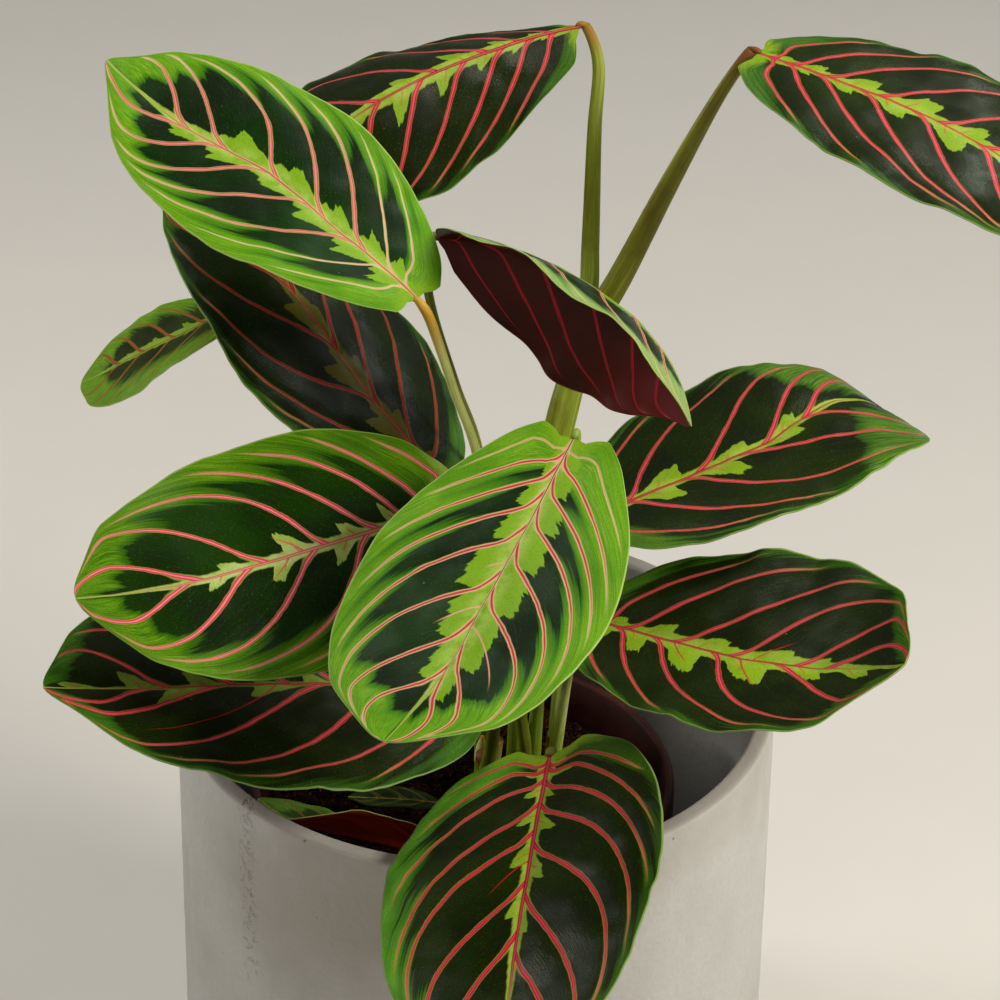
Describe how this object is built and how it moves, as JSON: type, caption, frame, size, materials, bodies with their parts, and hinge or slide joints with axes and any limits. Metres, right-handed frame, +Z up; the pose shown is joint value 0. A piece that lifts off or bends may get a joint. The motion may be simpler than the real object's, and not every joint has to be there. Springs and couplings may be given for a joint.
{
  "type": "potted prayer plant",
  "caption": "Potted prayer plant: oval red-veined leaves on slender stalks rising from soil in a nursery pot, inside a plain straight-sided cover pot.",
  "frame": {"origin": "centre of the cover pot's flat underside", "axes": "+Z up out of the pot, -Y towards the side that the low front leaf hangs over, +X to the right as seen from that side"},
  "size_m": [0.2344, 0.2208, 0.2715],
  "materials": {
    "cast_pot": "matt pale grey cast stone with fine pits",
    "plastic_pot": "satin dark red-brown moulded plastic",
    "soil": "dark brown crumbly potting soil",
    "stalk": "satin pale green stalk, redder towards the blades",
    "blade": "satin dark green leaf with red veins and light green bands"
  },
  "bodies": {
    "root": {"cover_pot": "cast_pot", "nursery_pot": "plastic_pot", "soil": "soil", "shoot_main": "stalk", "shoot_left": "stalk", "shoot_front": "stalk", "shoot_right": "stalk", "shoot_low": "stalk", "leaf_top_left": "blade", "leaf_top_middle": "blade", "leaf_top_right": "blade", "leaf_folded": "blade", "leaf_shaded": "blade", "leaf_left": "blade", "leaf_low_left": "blade", "leaf_front": "blade", "leaf_right": "blade", "leaf_low_right": "blade", "leaf_hanging": "blade", "leaf_young": "blade", "leaf_tucked": "blade", "leaf_newest": "blade"}
  },
  "joints": []
}
